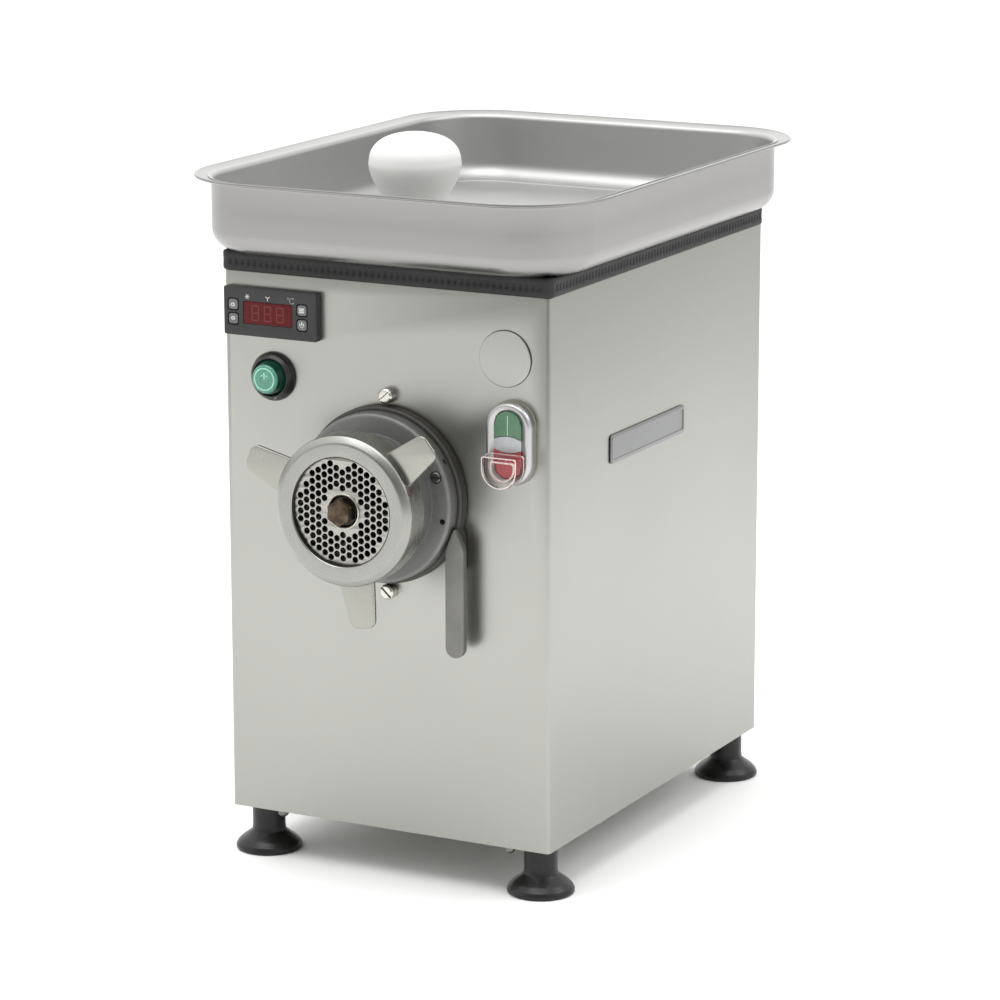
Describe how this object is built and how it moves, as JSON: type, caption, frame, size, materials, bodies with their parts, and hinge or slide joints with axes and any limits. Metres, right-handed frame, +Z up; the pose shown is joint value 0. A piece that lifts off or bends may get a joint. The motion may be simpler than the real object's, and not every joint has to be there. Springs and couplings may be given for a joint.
{
  "type": "electric meat grinder",
  "caption": "Table-top electric meat grinder with a pull-out mincing head, lift-off tray and pusher, geared motor, refrigerated socket and panel controls.",
  "frame": {"origin": "middle of the machine's outline seen from above, on the floor under the feet", "axes": "+Z up; the front panel with the mincing head faces -Y; +X is the right side seen from the front"},
  "size_m": [0.3076, 0.4432, 0.5114],
  "materials": {
    "satin_steel": "satin brushed stainless sheet",
    "tray_steel": "pressed stainless, finely brushed",
    "cast_steel": "bead-blasted stainless casting",
    "polished_steel": "turned and polished stainless",
    "gear_steel": "machined steel, oiled",
    "alu_casting": "as-cast aluminium",
    "black_rubber": "matte black rubber",
    "black_plastic": "fine-textured black plastic",
    "black_paint": "satin black enamel",
    "bronze": "worn bronze",
    "copper": "copper tube and winding",
    "white_plastic": "white food-grade polyethylene",
    "grey_key": "grey moulded key",
    "teal_lens": "translucent green plastic",
    "green_plastic": "green plastic",
    "red_plastic": "red plastic",
    "chromed_plastic": "satin chromed plastic",
    "display_red": "dark red display window",
    "clear_lens": "frosted lens",
    "clear_silicone": "clear silicone"
  },
  "bodies": {
    "cabinet": {"cabinet_wrap": "satin_steel", "rear_panel": "satin_steel", "base_pan": "satin_steel", "top_deck": "satin_steel", "edge_trim": "black_rubber", "foot_front_left": "black_rubber", "foot_front_right": "black_rubber", "foot_back_left": "black_rubber", "foot_back_right": "black_rubber", "feed_neck": "satin_steel", "head_socket": "cast_steel", "evaporator_coil": "copper", "flange_screw_top": "polished_steel", "flange_screw_bottom": "polished_steel", "gearbox_case": "alu_casting", "gearbox_cover": "alu_casting", "motor_stand": "alu_casting", "motor_shell": "alu_casting", "motor_stator": "gear_steel", "output_bearing": "polished_steel", "shaft_seal": "black_rubber", "compressor": "black_paint", "condenser": "alu_casting", "fan_motor": "alu_casting", "capacitor": "white_plastic", "thermostat_case": "black_plastic", "thermostat_window": "display_red", "power_bezel": "black_plastic", "blanking_disc": "satin_steel", "switch_bezel": "chromed_plastic", "pilot_lens": "clear_lens", "cable_gland": "black_plastic", "side_badge": "alu_casting", "stop_cover": "clear_silicone"},
    "tray": {"tray": "tray_steel"},
    "pusher": {"pusher": "white_plastic"},
    "lock": {"lock_ring": "cast_steel", "lock_lever": "cast_steel"},
    "head": {"head_barrel": "cast_steel"},
    "worm": {"feed_worm": "cast_steel", "worm_stub": "bronze", "knife": "polished_steel"},
    "plate": {"cutting_plate": "polished_steel"},
    "nut": {"ring_nut": "polished_steel"},
    "output": {"output_shaft": "gear_steel", "output_gear": "gear_steel"},
    "middle": {"middle_shaft": "gear_steel", "middle_gear": "gear_steel"},
    "rotor": {"motor_rotor": "gear_steel", "motor_fan": "black_plastic"},
    "fan": {"condenser_fan": "black_plastic"},
    "key_up": {"key_up": "grey_key"},
    "key_down": {"key_down": "grey_key"},
    "key_set": {"key_set": "grey_key"},
    "key_standby": {"key_standby": "grey_key"},
    "power": {"power_button": "teal_lens"},
    "start": {"start_button": "green_plastic"},
    "stop": {"stop_button": "red_plastic"}
  },
  "joints": [
    {"name": "tray_lift", "type": "slide", "parent": "cabinet", "child": "tray", "axis": [0, 0, 1], "range_m": [0, 0.12]},
    {"name": "pusher_lift", "type": "slide", "parent": "tray", "child": "pusher", "axis": [0, 0, 1], "range_m": [0, 0.15]},
    {"name": "lock_lever_turn", "type": "hinge", "parent": "cabinet", "child": "lock", "pos_m": [0.002, -0.1576, 0.272], "axis": [0, -1, 0], "range_deg": [0, 30]},
    {"name": "head_slide", "type": "slide", "parent": "cabinet", "child": "head", "axis": [0, -1, 0], "range_m": [0, 0.13]},
    {"name": "worm_spin", "type": "hinge", "parent": "head", "child": "worm", "pos_m": [0.002, -0.1326, 0.272], "axis": [0, 1, 0], "continuous": true},
    {"name": "plate_slide", "type": "slide", "parent": "head", "child": "plate", "axis": [0, -1, 0], "range_m": [0, 0.0125]},
    {"name": "ring_nut_turn", "type": "hinge", "parent": "plate", "child": "nut", "pos_m": [0.002, -0.2026, 0.272], "axis": [0, -1, 0], "range_deg": [0, 1080]},
    {"name": "motor_spin", "type": "hinge", "parent": "cabinet", "child": "rotor", "pos_m": [0.002, 0.0674, 0.244], "axis": [0, 1, 0], "continuous": true},
    {"name": "middle_spin", "type": "hinge", "parent": "cabinet", "child": "middle", "pos_m": [0.04049, -0.0126, 0.22214], "axis": [0, 1, 0], "continuous": true},
    {"name": "output_spin", "type": "hinge", "parent": "cabinet", "child": "output", "pos_m": [0.002, -0.0326, 0.272], "axis": [0, 1, 0], "continuous": true},
    {"name": "condenser_fan_spin", "type": "hinge", "parent": "cabinet", "child": "fan", "pos_m": [0, 0.1224, 0.106], "axis": [0, 1, 0], "continuous": true},
    {"name": "key_up_press", "type": "slide", "parent": "cabinet", "child": "key_up", "axis": [0, 1, 0], "range_m": [0, 0.0008], "stiffness_N_per_m": 500},
    {"name": "key_down_press", "type": "slide", "parent": "cabinet", "child": "key_down", "axis": [0, 1, 0], "range_m": [0, 0.0008], "stiffness_N_per_m": 500},
    {"name": "key_set_press", "type": "slide", "parent": "cabinet", "child": "key_set", "axis": [0, 1, 0], "range_m": [0, 0.0008], "stiffness_N_per_m": 500},
    {"name": "key_standby_press", "type": "slide", "parent": "cabinet", "child": "key_standby", "axis": [0, 1, 0], "range_m": [0, 0.0008], "stiffness_N_per_m": 500},
    {"name": "power_press", "type": "slide", "parent": "cabinet", "child": "power", "axis": [0, 1, 0], "range_m": [0, 0.003], "stiffness_N_per_m": 700},
    {"name": "start_press", "type": "slide", "parent": "cabinet", "child": "start", "axis": [0, 1, 0], "range_m": [0, 0.003], "stiffness_N_per_m": 600},
    {"name": "stop_press", "type": "slide", "parent": "cabinet", "child": "stop", "axis": [0, 1, 0], "range_m": [0, 0.003], "stiffness_N_per_m": 600}
  ],
  "couplings": [
    {"joint": "middle_spin", "follows": "motor_spin", "ratio": -0.34091},
    {"joint": "output_spin", "follows": "motor_spin", "ratio": 0.12599},
    {"joint": "worm_spin", "follows": "motor_spin", "ratio": 0.12599},
    {"joint": "plate_slide", "follows": "ring_nut_turn", "m_per_rad": 0.00063662}
  ]
}
